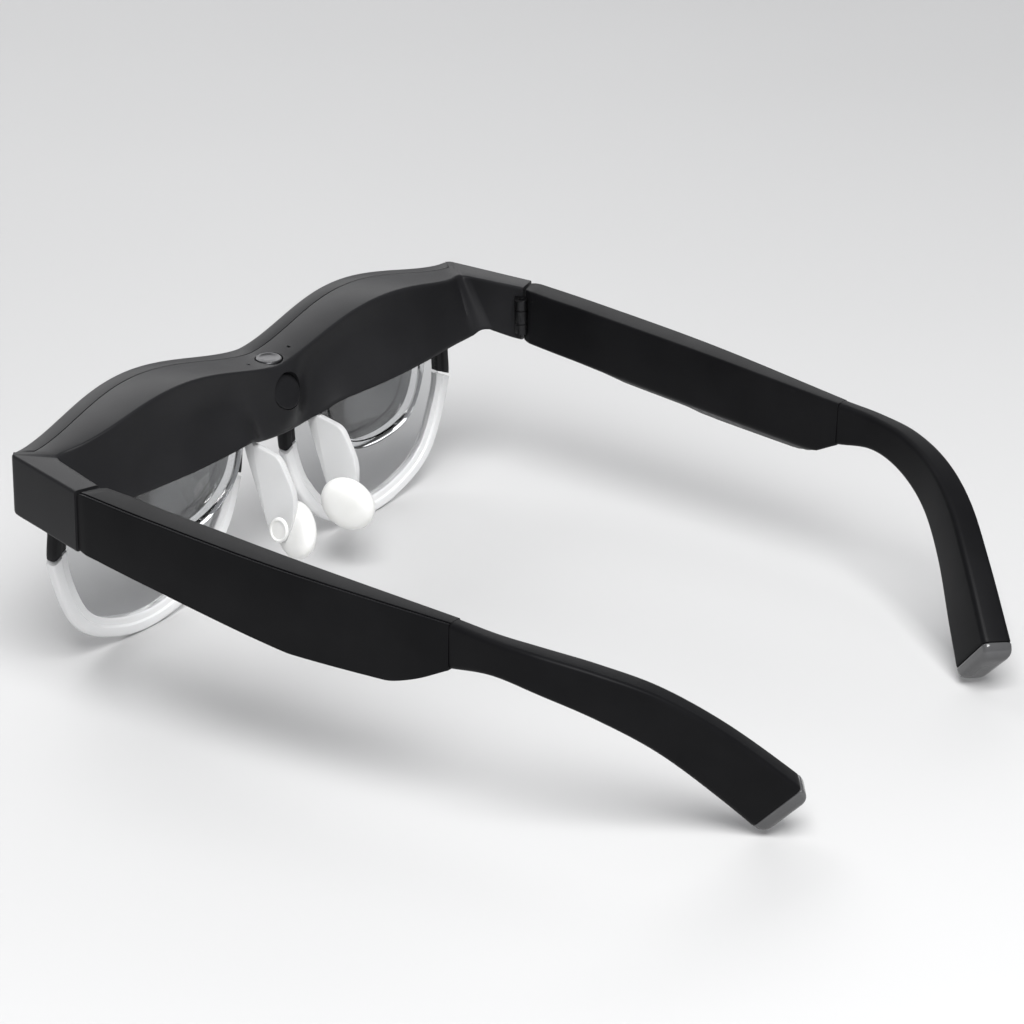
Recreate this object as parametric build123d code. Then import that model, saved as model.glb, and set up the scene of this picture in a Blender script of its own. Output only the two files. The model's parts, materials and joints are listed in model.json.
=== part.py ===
from build123d import *
import math
import os

# Smart glasses with a deep brow, clear lower rims and folding temples, in millimetres.
# Worn axes while modelling: +X is the wearer's left, +Y points back to the ears and +Z is up. The origin
# lies on the symmetry plane, level with the top of the temples, at the front corners of the end pieces.
# At the end everything is turned about X and lifted, so that the rims and temple tips stand on z = 0.

# ---------------------------------------------------------------- driving dimensions
HALF_WIDTH = 75.0           # front corner of an end piece
HINGE_X = 78.8              # outer face at the hinge gap
INNER_X = 73.1              # inner face at the hinge gap
HINGE_Y = 24.6              # middle of the hinge gap
GAP = 0.5                   # hinge gap
GAP_SKEW = 0.9              # the gap runs back towards the inner face
END_HEIGHT = 14.8           # end piece at the gap
WAVE_FRONT = 5.1            # rise of the brow over each eye along the front edge
WAVE_REAR = 6.2             # rise along the rear edge
WAVE_SPAN = 72.0            # half width that the wave covers
BROW_HALF = 71.0            # half width of the wavy brow
WALL = 1.5                  # wall of the brow shells
COVER_DEPTH = 4.0           # depth of the front cover
RIM_WALL = 4.6              # width of a rim seen from behind
RIM_FRONT = 3.2
RIM_REAR = 6.2
RIM_JOINT_Z = -27.5         # where the black stub ends and the clear rim begins
RIM_TOP_Z = -9.0            # the rims run up into the brow to here
BROW_LOW_Z = -13.0          # stubs show below this height
LENS_Y = 4.7                # middle of the front lens
LENS_THICK = 1.4
LENS_GROOVE = 0.9           # lens edge let into the rim
BLOCK_FRONT = 6.4           # optic block, front to rear
BLOCK_REAR = 13.0
BLOCK_TOP_Z = -9.4
COMBINER_THICK = 0.6
ARM_X = 10.9                # middle of a nose arm
ARM_THICK = 1.8
PAD_R = 7.0
PAD_THICK = 4.6
PAD_X = 9.0
PAD_Y = 24.4
PAD_Z = -35.4
PAD_TURN = 15.0             # the pads open out towards the face
PAD_LEAN = 8.0
PLUG_Y = 21.4
PLUG_Z = -35.4
BUTTON_Y = 7.8
BUTTON_R = 3.1
FLANGE = 0.5                # flange that keeps the button in its hole
MIC_X = 7.1
MIC_HOLE_R = 0.4
WINDOW_R = 4.2
WINDOW_THICK = 1.0
WINDOW_UP = math.radians(24)
PIVOT = (72.6, 25.5, -7.0)  # a point on the left hinge axis
AXIS_LEAN = 5.0             # the hinge axes lean inwards at the top, so that a folded temple drops
PIN_R = 0.7
BARREL_R = 1.7
KNUCKLE = 4.6               # half length of the hinge barrel
SPLIT = 1.8                 # half height of the split between frame and temple knuckles
RUN = 0.1                   # half the play between the knuckles
BORE_PLAY = 0.04
LEAF = 1.0                  # thickness of a hinge leaf
SHELL = 1.2                 # wall of the temples
PLATE = 1.3                 # thickness of the outer plate of a temple
TIP_SEAM_Y = 121.0
TIP_WALL = 1.2
CAP_LENGTH = 3.2
END_POINT = (36.2, 186.0, -28.8)
END_DIRECTION = (-0.527, 0.586, -0.615)
STAND_TILT = 4.9            # turn that stands rims and tips on one level
CLEAR = 0.3                 # gap round moving pieces
BOX_TOLERANCE = 0.02        # facet size for measuring the overall box

PARTS = {}


# ---------------------------------------------------------------- helpers
def mirror_x(shape):
    return mirror(shape, about=Plane.YZ)


def both(name, shape):
    """Keep a left-hand piece and its mirror image as two nodes."""
    PARTS["left_" + name] = shape
    PARTS["right_" + name] = mirror_x(shape)


def box(x0, x1, y0, y1, z0, z1):
    return Pos((x0 + x1) / 2, (y0 + y1) / 2, (z0 + z1) / 2) * Box(x1 - x0, y1 - y0, z1 - z0)


def upright(face, y0, y1):
    """Extrude an (x, z) face from y0 to y1."""
    solid = Rot(90, 0, 0) * extrude(face, amount=y1 - y0)
    return Pos(0, y1 - solid.bounding_box().max.Y, 0) * solid


def largest(shape):
    return max(shape.solids(), key=lambda s: s.volume)


def subtract(shape, tools):
    for tool in tools:
        shape = shape - tool
    return shape


# ---------------------------------------------------------------- brow
def wave(x, height):
    """Height of the brow's top edge at x: zero on the bridge and at the end pieces."""
    u = min(abs(x) / WAVE_SPAN, 1.0)
    return height * math.sin(math.pi * u) ** 1.5


def front_y(x):
    """Plan curve of the front face: bowed forward over each eye and swept back at the corners."""
    u = min(abs(x) / HALF_WIDTH, 1.0)
    return -2.1 * (1 - u * u) - 2.9 * math.sin(math.pi * u) ** 2


def rear_top_y(x):
    """Plan curve of the top rear edge."""
    u = max(abs(x) - 54.0, 0.0) / 17.0
    return 12.0 - 3.0 * u * u


def rear_low(x):
    """Depth and height of the rear shell's lower lip at x."""
    a = abs(x)
    over_eye = 1 / (1 + math.exp(-(a - 12.0) / 2.0))
    swept = max(a - 42.0, 0.0) / 29.0
    depth = 13.4 + 5.2 * over_eye - 4.6 * swept ** 1.5
    height = -17.3 + 4.6 * over_eye - 0.8 * swept
    return depth, height


def brow_section(x, inset=0.0):
    """Closed outline in the plane at x; inset pulls every side inwards."""
    low_y, low_z = rear_low(x)
    low_y, low_z = low_y - inset, low_z + inset
    front, back = front_y(x) + inset, rear_top_y(x) - inset
    top_front, top_rear = wave(x, WAVE_FRONT) - inset, wave(x, WAVE_REAR) - inset
    bridge = math.exp(-(x / 7.0) ** 2)
    scoop = 2.4 * bridge - 1.3 * (1 - bridge)
    middle = (0.5 * (back + low_y) + scoop, 0.45 * (top_rear + low_z))
    step_z = low_z + 0.6
    with BuildSketch(Plane(origin=(x, 0, 0), x_dir=(0, 1, 0), z_dir=(1, 0, 0))) as outline:
        with BuildLine():
            Line((front, top_front), (back, top_rear))
            Spline((back, top_rear), middle, (low_y, low_z))
            Line((low_y, low_z), (RIM_REAR + 0.4, step_z))
            Line((RIM_REAR + 0.4, step_z), (front + 1.2, step_z))
            Line((front + 1.2, step_z), (front, top_front))
        make_face()
    return outline.sketch


def brow_body(inset, half):
    stations = [half * k / 12 for k in range(-12, 13)]
    return loft([brow_section(x, inset) for x in stations])


def end_piece():
    """Left end piece: the side block that carries the hinge, cut off by the hinge gap."""
    y_gap = HINGE_Y - GAP / 2
    plan = Polyline((62.0, front_y(62.0)), (HALF_WIDTH, 0), (HINGE_X, y_gap - GAP_SKEW),
                    (INNER_X, y_gap + GAP_SKEW), (69.9, 10.0), (66.0, 9.0), close=True)
    side = Polyline((-6, 0), (26, 0), (26, -END_HEIGHT), (3, -14.4), (0.6, -13.2), (-0.2, -11.6),
                    (-6, -11.6), close=True)
    body = extrude(make_face(plan), amount=-END_HEIGHT - 1)
    return body & extrude(make_face(Plane.YZ * side), amount=100, both=True)


# ---------------------------------------------------------------- rims, lenses and optics
def rim_outline(wall=0.0):
    """Left eye opening, a full round D closed along the brow, drawn in by wall."""
    w = wall
    lower = Spline((68.4 - w, -14), (68.6 - w, -30), (62.2 - 0.85 * w, -46.2 + 0.6 * w),
                   (50.5 - 0.4 * w, -53.4 + 0.92 * w), (36.7, -55.3 + w), (22.5 + 0.45 * w, -51.0 + 0.9 * w),
                   (12.6 + 0.85 * w, -40.2 + 0.5 * w), (8.0 + w, -28.9), (6.4 + w, -14),
                   tangents=((0.02, -1), (-0.03, 1)))
    top = Polyline((6.4 + w, -14), (6.4 + w, RIM_TOP_Z), (68.4 - w, RIM_TOP_Z), (68.4 - w, -14))
    return make_face(lower + top)


def make_rims():
    """Clear lower rims, the black stubs above them and the front lenses; returns what the brow makes room for."""
    ring = upright(rim_outline(), RIM_FRONT, RIM_REAR) - upright(rim_outline(RIM_WALL), 0, 9)
    lens = upright(rim_outline(RIM_WALL - LENS_GROOVE), LENS_Y - LENS_THICK / 2, LENS_Y + LENS_THICK / 2)
    below_brow = box(0, 80, -10, 20, -60, BROW_LOW_Z)
    clear_zone = box(0, 80, -10, 20, -60, RIM_JOINT_Z)
    stubs = Compound(((ring & below_brow) - clear_zone - lens).solids())
    both("rim_stubs", stubs)
    both("lower_rim", (ring & clear_zone) - lens)
    both("front_lens", lens)
    return [stubs, lens]


def make_optics():
    """Display, clear optic block and half mirror behind the left lens; returns what the brow makes room for."""
    lower = Spline((13.0, -15), (16.5, -24.5), (25.0, -30.8), (36.0, -32.4), (46.5, -29.8), (52.0, -15),
                   tangents=((0, -1), (0.1, 1)))
    face = make_face(lower + Polyline((52.0, -15), (52.0, BLOCK_TOP_Z), (13.0, BLOCK_TOP_Z), (13.0, -15)))
    block = upright(face, BLOCK_FRONT, BLOCK_REAR)
    combiner_face = Pos(32.5, -20.0) * RectangleRounded(27, 15, 2.5)
    combiner = upright(combiner_face, BLOCK_FRONT, BLOCK_FRONT + COMBINER_THICK)
    both("optic_block", block - combiner)
    both("combiner", combiner)
    both("display", box(23, 42, BLOCK_FRONT + 0.4, BLOCK_REAR - 0.5, BLOCK_TOP_Z, -6.6))
    return [block]


# ---------------------------------------------------------------- nose bracket and pads
def make_nose():
    """Clear bracket with two flat arms, and a domed silicone pad plugged through the end of each arm."""
    arm_face = make_face(Polyline((8.4, -8.2), (10.8, -8.2), (13.2, -15.8), (21.4, -16.8), (26.2, -25.0),
                                  (25.8, -33.0), (23.0, -39.2), (18.6, -38.6), (17.2, -34.6), (10.4, -18.0),
                                  close=True))
    arm_face = fillet(arm_face.vertices().filter_by(lambda v: v.Y < -30), 2.0)
    arm_plane = Plane(origin=(ARM_X, 0, 0), x_dir=(0, 1, 0), z_dir=(1, 0, 0))
    arm = extrude(arm_plane * arm_face, amount=ARM_THICK / 2, both=True)
    cross_bar = box(-ARM_X, ARM_X, 8.8, 10.2, -11.0, -8.2)

    inner_face = ARM_X - ARM_THICK / 2
    pad_spot = Pos(PAD_X, PAD_Y, PAD_Z) * Rot(0, 0, -PAD_TURN) * Rot(0, -PAD_LEAN, 0) * Rot(0, 90, 0)
    disc = pad_spot * fillet(Cylinder(PAD_R, PAD_THICK).edges(), 1.9) - arm
    plug_plane = Plane(origin=(ARM_X + ARM_THICK / 2, PLUG_Y, PLUG_Z), x_dir=(0, 0.45, 0.9), z_dir=(1, 0, 0))
    plug = extrude(plug_plane * SlotOverall(7.2, 5.4), amount=0.9)
    neck = Pos(ARM_X, PLUG_Y, PLUG_Z) * Rot(0, 90, 0) * Cylinder(1.5, ARM_THICK)
    root = Pos(inner_face - 0.6, PLUG_Y + 0.8, PLUG_Z) * Rot(0, 90, 0) * Cylinder(2.4, 1.2)
    both("nose_pad", disc + plug + neck + root)
    bracket = arm + mirror_x(arm) + cross_bar
    bracket = subtract(bracket, [neck, mirror_x(neck), root, mirror_x(root)])
    PARTS["nose_bracket"] = bracket
    return [bracket]


# ---------------------------------------------------------------- bridge
def make_bridge():
    """Button with its switch, microphones and sensor window; returns their holes and pockets in the housing."""
    stem = Pos(0, BUTTON_Y, -0.65) * Cylinder(BUTTON_R, 2.3)
    button = stem + Pos(0, BUTTON_Y, -2.05) * Cylinder(BUTTON_R + FLANGE, 0.5)
    PARTS["top_button"] = fillet(button.edges().group_by(Axis.Z)[-1], 0.3)
    bore = Pos(0, BUTTON_Y, 1.0) * Cylinder(BUTTON_R + CLEAR, 8)
    flange_room = Pos(0, BUTTON_Y, -2.25) * Cylinder(BUTTON_R + FLANGE + CLEAR, 1.5)
    PARTS["button_switch"] = Pos(0, BUTTON_Y, -4.0) * Box(3.6, 3.0, 1.0) + Pos(0, BUTTON_Y, -3.25) * Cylinder(1.0, 0.5)

    mic_spots = [Pos(side * MIC_X, BUTTON_Y, 0) for side in (-1, 1)]
    mic_holes = [spot * Cylinder(MIC_HOLE_R, 12) for spot in mic_spots]
    PARTS["microphones"] = Compound([spot * Pos(0, 0, -3.5) * Cylinder(1.2, 2.0) for spot in mic_spots])
    PARTS["sensor_board"] = box(-9.4, 9.4, 4.2, 10.2, -5.3, -4.5)

    facing = (0, math.cos(WINDOW_UP), math.sin(WINDOW_UP))
    window_plane = Plane(origin=(0, 13.6, -6.4), x_dir=(1, 0, 0), z_dir=facing)
    window = extrude(window_plane * Circle(WINDOW_R), amount=-WINDOW_THICK)
    pocket = extrude(window_plane * Circle(WINDOW_R), amount=6) + window
    port = extrude(window_plane.offset(-WINDOW_THICK) * Circle(WINDOW_R - 1.2), amount=-4)
    PARTS["bridge_window"] = window
    PARTS["proximity_sensor"] = box(-1.6, 1.6, 9.3, 10.1, -8.0, -5.3)
    board = box(-56, 56, 0.4, 1.4, -10.4, -2.0)
    for x0, x1 in ((-54, -47), (-6, 6), (47, 54)):
        board += box(x0, x1, 1.4, 2.3, -8, -4)
    PARTS["main_board"] = board
    return [bore, flange_room, pocket, port & box(-6, 6, 9, 20, -20, 5), *mic_holes]


def make_shells(rim_room, optic_room, nose_room, bridge_room):
    """Front cover and rear housing: the hollow brow split at a fixed depth behind its front face."""
    left_end = end_piece()
    shell = brow_body(0.0, BROW_HALF) + left_end + mirror_x(left_end) - brow_body(WALL, BROW_HALF - 6.0)
    seam_x = (-73.4, -55, -37, -18, 0, 18, 37, 55, 73.4)
    seam = Spline([(x, front_y(x) + COVER_DEPTH) for x in seam_x])
    seam_end = front_y(seam_x[-1]) + COVER_DEPTH
    ahead = seam + Polyline((73.4, seam_end), (73.4, -12), (-73.4, -12), (-73.4, seam_end))
    cover_zone = extrude(make_face(ahead), amount=30, both=True)
    sided_room = rim_room + optic_room
    room = sided_room + [mirror_x(piece) for piece in sided_room] + nose_room
    PARTS["front_cover"] = largest(subtract(shell & cover_zone, room))
    hinge_room = [HINGE["pocket"], HINGE["frame"], mirror_x(HINGE["pocket"]), mirror_x(HINGE["frame"])]
    PARTS["rear_housing"] = largest(subtract(shell - cover_zone, room + bridge_room + hinge_room))


# ---------------------------------------------------------------- hinge
def hinge_pieces():
    """Left hinge: two frame knuckles, one temple knuckle between them, the pin and the leaf screws."""
    s, c = math.sin(math.radians(AXIS_LEAN)), math.cos(math.radians(AXIS_LEAN))
    axis = Plane(origin=PIVOT, x_dir=(c, 0, s), z_dir=(-s, 0, c))

    def barrel(radius, low, high):
        return axis * Pos(0, 0, (low + high) / 2) * Cylinder(radius, high - low)

    def leaf(y0, y1, low, high):
        return axis * Pos(0.9, (y0 + y1) / 2, (low + high) / 2) * Box(LEAF, y1 - y0, high - low)

    outer, inner = SPLIT + RUN, SPLIT - RUN
    frame = barrel(BARREL_R, -KNUCKLE, -outer) + barrel(BARREL_R, outer, KNUCKLE)
    frame += leaf(-8.0, 0, -KNUCKLE, -outer) + leaf(-8.0, 0, outer, KNUCKLE) + leaf(-8.0, -2.6, -KNUCKLE, KNUCKLE)
    frame -= barrel(PIN_R, -9, 9)
    temple = barrel(BARREL_R, -inner, inner) + leaf(0, 9.0, -inner, inner) + leaf(2.6, 9.0, -KNUCKLE, KNUCKLE)
    temple -= barrel(PIN_R + BORE_PLAY, -9, 9)
    screws = [axis * Pos(1.9, y, z) * Rot(0, 90, 0) * Cylinder(0.6, 2.4) for y in (4.4, 7.2) for z in (-3.0, 3.0)]
    return {
        "pin": barrel(PIN_R, -KNUCKLE - CLEAR, KNUCKLE + CLEAR),
        "frame": frame,
        "temple": subtract(temple, screws),
        "temple_room": temple,
        "screws": screws,
        "pocket": barrel(BARREL_R + CLEAR, -KNUCKLE - 0.6, KNUCKLE + 0.6),
    }


HINGE = hinge_pieces()


# ---------------------------------------------------------------- temples
def temple_solid(inset=0.0):
    """Straight part of the left temple, from the hinge gap to the seam of the tip."""
    n = inset
    y_gap = HINGE_Y + GAP / 2 + n
    outer = Spline((HINGE_X - n, y_gap - GAP_SKEW), (78.6 - n, 45), (76.8 - n, 80), (71.7 - n, TIP_SEAM_Y))
    inner = Spline((INNER_X + n, y_gap + GAP_SKEW), (71.9 + n, 50), (70.7 + n, 80), (68.0 + n, TIP_SEAM_Y))
    plan = make_face(outer + inner + Line((HINGE_X - n, y_gap - GAP_SKEW), (INNER_X + n, y_gap + GAP_SKEW))
                     + Line((71.7 - n, TIP_SEAM_Y), (68.0 + n, TIP_SEAM_Y)))
    low = Spline((20, -14.0 + n), (45, -15.9 + n), (75, -18.5 + n), (94, -19.8 + n), (105, -18.2 + n),
                 (113, -15.4 + n), (TIP_SEAM_Y, -10.9 + n), tangents=((1, -0.06), (1, 0.4)))
    high = Polyline((TIP_SEAM_Y, -10.9 + n), (TIP_SEAM_Y, -0.3 - n), (20, -n), (20, -14.0 + n))
    side = extrude(Plane.YZ * make_face(low + high), amount=100)
    body = extrude(plan, amount=40, both=True) & side
    underside = Plane(origin=(72.6 + n, 25, -13.9 + n), x_dir=(0.8, 0, -0.6), z_dir=(-0.6, -0.0312, -0.8))
    return body - underside * Pos(0, 0, 10) * Box(40, 260, 20)


TIP_STATIONS = [
    # centre x, y, top z, vertical height, width, inward lean of the lower edge
    (69.85, 121.0, -0.3, 10.6, 3.7, 0.0),
    (69.3, 131.0, -0.6, 8.4, 4.2, 0.0),
    (67.2, 141.0, -1.2, 9.4, 4.9, 0.4),
    (62.5, 151.6, -3.2, 11.4, 5.3, 1.1),
    (55.7, 161.8, -7.4, 14.2, 5.7, 2.0),
    (47.5, 172.0, -15.2, 17.2, 6.1, 2.7),
    (39.3, 182.4, -25.3, 19.0, 6.5, 3.0),
    (32.0, 192.0, -35.5, 19.0, 6.7, 3.0)]
CORE_STATIONS = 6


def tip_solid(inset, stations):
    """Curved end of the left temple: it drops and turns in behind the ear."""
    faces = []
    for i, (x, y, top, height, width, lean) in enumerate(stations):
        before, after = stations[max(i - 1, 0)], stations[min(i + 1, len(stations) - 1)]
        along = Vector(after[0] - before[0], after[1] - before[1], 0).normalized() if i else Vector(0, 1, 0)
        spot = Plane(origin=(x, y, top), x_dir=(along.Y, -along.X, 0), z_dir=(-along.X, -along.Y, 0))
        half, low = width / 2 - inset, -height + inset
        face = make_face(Polyline((-half, -inset), (half, -inset), (0.86 * half - lean, low),
                                  (-0.86 * half - lean, low), close=True))
        faces.append(spot * (face if inset else fillet(face.vertices(), 0.9)))
    return loft(faces)


def make_tip():
    """Rubber sleeve over a stiff core, closed by a glossy cap square to the path."""
    end_plane = Plane(origin=END_POINT, z_dir=Vector(*END_DIRECTION))
    past_end = end_plane * Pos(0, 0, 50) * Box(160, 160, 100)
    past_seam = end_plane.offset(-CAP_LENGTH) * Pos(0, 0, 50) * Box(160, 160, 100)
    tip = tip_solid(0.0, TIP_STATIONS)
    core = tip_solid(TIP_WALL, TIP_STATIONS[:CORE_STATIONS])
    both("tip_sleeve", largest(tip - past_seam - core))
    both("tip_core", core)
    both("end_cap", largest((tip & past_seam) - past_end))


def make_temple():
    """Outer plate, inner cover with the top edge, speaker grille and the pieces inside."""
    cavity = temple_solid(SHELL) & box(60, 90, 20, TIP_SEAM_Y - 1.5, -30, 10)
    walls = temple_solid() - cavity
    seam = Spline((HINGE_X - PLATE, 20), (78.6 - PLATE, 45), (76.8 - PLATE, 80), (71.7 - PLATE, TIP_SEAM_Y + 1))
    inward = seam + Polyline((71.7 - PLATE, TIP_SEAM_Y + 1), (60, TIP_SEAM_Y + 1), (60, 20), (HINGE_X - PLATE, 20))
    cover_zone = extrude(make_face(inward), amount=40, both=True)
    grille_zone = box(71.4, 74.6, 78.0, 92.0, -30, -14.0)
    grille = largest((temple_solid() - temple_solid(SHELL)) & grille_zone)
    slots = [box(71.9, 74.1, y, y + 1.0, -30, 0) for y in (79.6, 82.0, 84.4, 86.8, 89.2)]
    room = [HINGE["pocket"], HINGE["temple_room"], *HINGE["screws"]]
    both("temple_shell", largest(subtract(walls - cover_zone, room + [grille])))
    both("temple_cover", largest(subtract(walls & cover_zone, room + [grille])))
    both("speaker_grille", subtract(grille, slots))
    both("hinge_leaf", HINGE["frame"])
    both("hinge_pin", HINGE["pin"])
    both("temple_leaf", HINGE["temple"])
    both("hinge_screws", Compound(HINGE["screws"]))
    along = Rot(0, 0, 2.1)
    both("battery", Pos(75.1, 58.5, -6.6) * along * Box(2.4, 38, 8.0))
    both("speaker", Pos(73.0, 86.0, -8.4) * Rot(0, 0, 4) * Box(1.8, 11, 4.0))
    PARTS["touch_strip"] = Pos(76.8, 52, -6.6) * along * Box(0.3, 22, 7)


def stand_and_save():
    """Turn everything to its standing position, centred in y with its lowest point on z = 0."""
    os.makedirs("parts", exist_ok=True)
    turned = {name: Rot(-STAND_TILT, 0, 0) * shape for name, shape in PARTS.items()}
    points = [point for shape in turned.values() for point in shape.tessellate(BOX_TOLERANCE)[0]]
    low_y, high_y = min(p.Y for p in points), max(p.Y for p in points)
    low_z, high_z = min(p.Z for p in points), max(p.Z for p in points)
    shift_y, shift_z = -(low_y + high_y) / 2, -low_z
    print("shift", shift_y, shift_z, "depth", high_y - low_y, "height", high_z - low_z)
    for name, shape in turned.items():
        export_step(Pos(0, shift_y, shift_z) * shape, f"parts/{name}.step")


make_shells(make_rims(), make_optics(), make_nose(), make_bridge())
make_temple()
make_tip()
stand_and_save()
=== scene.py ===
"""Looks for the smart glasses: studio, camera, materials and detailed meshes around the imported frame."""
import bmesh
import bpy
import json
import math
from mathutils import Matrix, Vector


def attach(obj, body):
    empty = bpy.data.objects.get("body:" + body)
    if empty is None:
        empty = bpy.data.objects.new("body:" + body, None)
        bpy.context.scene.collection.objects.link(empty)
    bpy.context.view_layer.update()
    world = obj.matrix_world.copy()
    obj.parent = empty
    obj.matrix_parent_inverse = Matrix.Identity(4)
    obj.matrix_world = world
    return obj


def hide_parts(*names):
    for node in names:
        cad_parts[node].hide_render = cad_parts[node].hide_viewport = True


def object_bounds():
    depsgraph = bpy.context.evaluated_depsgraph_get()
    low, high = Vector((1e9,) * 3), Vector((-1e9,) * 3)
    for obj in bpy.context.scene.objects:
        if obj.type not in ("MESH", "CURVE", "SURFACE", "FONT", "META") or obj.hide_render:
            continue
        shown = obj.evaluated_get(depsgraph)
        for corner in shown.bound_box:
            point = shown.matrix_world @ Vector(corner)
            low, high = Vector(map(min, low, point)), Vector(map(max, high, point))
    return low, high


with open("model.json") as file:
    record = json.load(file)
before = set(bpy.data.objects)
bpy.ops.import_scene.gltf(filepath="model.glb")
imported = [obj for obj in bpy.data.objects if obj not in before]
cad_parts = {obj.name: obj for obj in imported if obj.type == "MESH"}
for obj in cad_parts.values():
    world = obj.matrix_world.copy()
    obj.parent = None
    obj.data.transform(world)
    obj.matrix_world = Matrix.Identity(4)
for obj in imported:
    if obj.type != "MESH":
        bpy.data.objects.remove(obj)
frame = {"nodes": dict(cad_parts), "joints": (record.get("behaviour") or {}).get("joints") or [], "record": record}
cad_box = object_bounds()

MM = 0.001
SIDES = (("left", False), ("right", True))     # shapes are drawn for the left and mirrored for the right

# ---------------------------------------------------------------- worn axes
# Shapes are drawn in millimetres in the worn position (temples level, origin between the front corners)
# and then turned to the standing position of the frame. The left hinge ties the two together.
STAND_TILT = math.radians(4.9)
HINGE_WORN = Vector((72.6, 25.5, -7.0)) * MM
left_hinge = next(j for j in frame["joints"] if j["name"] == "left_temple_fold")
TURN = Matrix.Rotation(-STAND_TILT, 4, "X")
TO_ROW = Matrix.Translation(Vector(left_hinge["pos_m"]) - TURN @ HINGE_WORN) @ TURN


# ---------------------------------------------------------------- mesh helpers
def make_object(name, bm, body, material, replaced=(), smooth_angle=35.0, mirrored=False):
    """Finish a mesh drawn in worn millimetres: move it to the row frame and hang it on its body."""
    bm.transform(Matrix.Scale(MM, 4))
    if mirrored:
        bm.transform(Matrix.Scale(-1, 4, Vector((1, 0, 0))))
    bmesh.ops.recalc_face_normals(bm, faces=bm.faces)
    bm.transform(TO_ROW)
    mesh = bpy.data.meshes.new(name)
    bm.to_mesh(mesh)
    bm.free()
    piece = bpy.data.objects.new(name, mesh)
    bpy.context.scene.collection.objects.link(piece)
    mesh.materials.append(material)
    mesh.shade_smooth()
    mesh.set_sharp_from_angle(angle=math.radians(smooth_angle))
    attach(piece, body)
    if replaced:
        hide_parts(*replaced)
    return piece


def ring_mesh(rings):
    """Quad mesh through equal rings of points, capped at both ends."""
    bm = bmesh.new()
    rows = [[bm.verts.new(p) for p in ring] for ring in rings]
    count = len(rows[0])
    for a, b in zip(rows, rows[1:]):
        for k in range(count):
            n = (k + 1) % count
            bm.faces.new((a[k], a[n], b[n], b[k]))
    bm.faces.new(rows[0])
    bm.faces.new(rows[-1][::-1])
    return bm


def add_lump(whole, lump):
    """Add a separate closed lump to a mesh."""
    part = bpy.data.meshes.new("lump")
    lump.to_mesh(part)
    lump.free()
    whole.from_mesh(part)
    bpy.data.meshes.remove(part)


def joined(lumps):
    """One mesh of several separate closed lumps."""
    whole = bmesh.new()
    for lump in lumps:
        add_lump(whole, lump)
    return whole


def arc(steps):
    """Evenly spaced angles from nought to a quarter turn."""
    return [math.pi / 2 * k / steps for k in range(steps + 1)]


def circle(count):
    """Evenly spaced angles round a full turn."""
    return [2 * math.pi * k / count for k in range(count)]


def depthwise(p, y):
    """A drawn outline point placed at depth y."""
    return Vector((p.x, y, p.z))


def plan(*points):
    """Points on the level plane."""
    return [Vector((x, y, 0)) for x, y in points]


def rounded(corners, radii, steps=4):
    """Points round a closed outline of 2-D or 3-D corners, each corner an arc of its own radius."""
    points = []
    count = len(corners)
    for i, corner in enumerate(corners):
        before, after = corners[i - 1] - corner, corners[(i + 1) % count] - corner
        reach = min(radii[i], 0.45 * before.length, 0.45 * after.length)
        if reach < 1e-6:
            points.append(corner.copy())
            continue
        start = corner + before.normalized() * reach
        end = corner + after.normalized() * reach
        for s in range(steps + 1):
            t = s / steps
            points.append((1 - t) ** 2 * start + 2 * t * (1 - t) * corner + t * t * end)
    return points


def spline(points, count):
    """Evenly spaced points on a smooth Catmull-Rom curve through the given points."""
    pts = [Vector(p) for p in points]
    pts = [2 * pts[0] - pts[1]] + pts + [2 * pts[-1] - pts[-2]]
    fine = []
    for i in range(1, len(pts) - 2):
        p0, p1, p2, p3 = pts[i - 1:i + 3]
        for s in range(40):
            t = s / 40
            fine.append(0.5 * ((2 * p1) + (p2 - p0) * t + (2 * p0 - 5 * p1 + 4 * p2 - p3) * t * t
                               + (3 * p1 - p0 - 3 * p2 + p3) * t ** 3))
    fine.append(pts[-2])
    return even(fine, count)


def even(fine, count):
    """Resample a polyline into count evenly spaced points."""
    lengths = [0.0]
    for a, b in zip(fine, fine[1:]):
        lengths.append(lengths[-1] + (b - a).length)
    out, k = [], 0
    for s in range(count):
        want = lengths[-1] * s / (count - 1)
        while k < len(fine) - 2 and lengths[k + 1] < want:
            k += 1
        span = max(lengths[k + 1] - lengths[k], 1e-9)
        out.append(fine[k].lerp(fine[k + 1], min(max((want - lengths[k]) / span, 0), 1)))
    return out


def table(pairs, at):
    """Smooth value between (position, value) pairs."""
    if at <= pairs[0][0]:
        return pairs[0][1]
    for (a, va), (b, vb) in zip(pairs, pairs[1:]):
        if at <= b:
            t = (at - a) / (b - a)
            t = t * t * (3 - 2 * t)
            return va + (vb - va) * t
    return pairs[-1][1]


# ---------------------------------------------------------------- materials
def new_material(name):
    material = bpy.data.materials.new(name)
    material.use_nodes = True
    tree = material.node_tree
    shader = tree.nodes["Principled BSDF"]
    return material, tree, shader


def noise(tree, scale, detail=3.0, rough=0.5):
    coords = tree.nodes.get("coords") or tree.nodes.new("ShaderNodeTexCoord")
    coords.name = "coords"
    tex = tree.nodes.new("ShaderNodeTexNoise")
    tex.inputs["Scale"].default_value = scale
    tex.inputs["Detail"].default_value = detail
    tex.inputs["Roughness"].default_value = rough
    tree.links.new(coords.outputs["Object"], tex.inputs["Vector"])
    return tex


def ramp(tree, source, stops):
    node = tree.nodes.new("ShaderNodeValToRGB")
    while len(node.color_ramp.elements) < len(stops):
        node.color_ramp.elements.new(0.5)
    for element, (place, colour) in zip(node.color_ramp.elements, stops):
        element.position = place
        element.color = (*colour, 1) if len(colour) == 3 else colour
    tree.links.new(source, node.inputs["Fac"])
    return node


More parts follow.
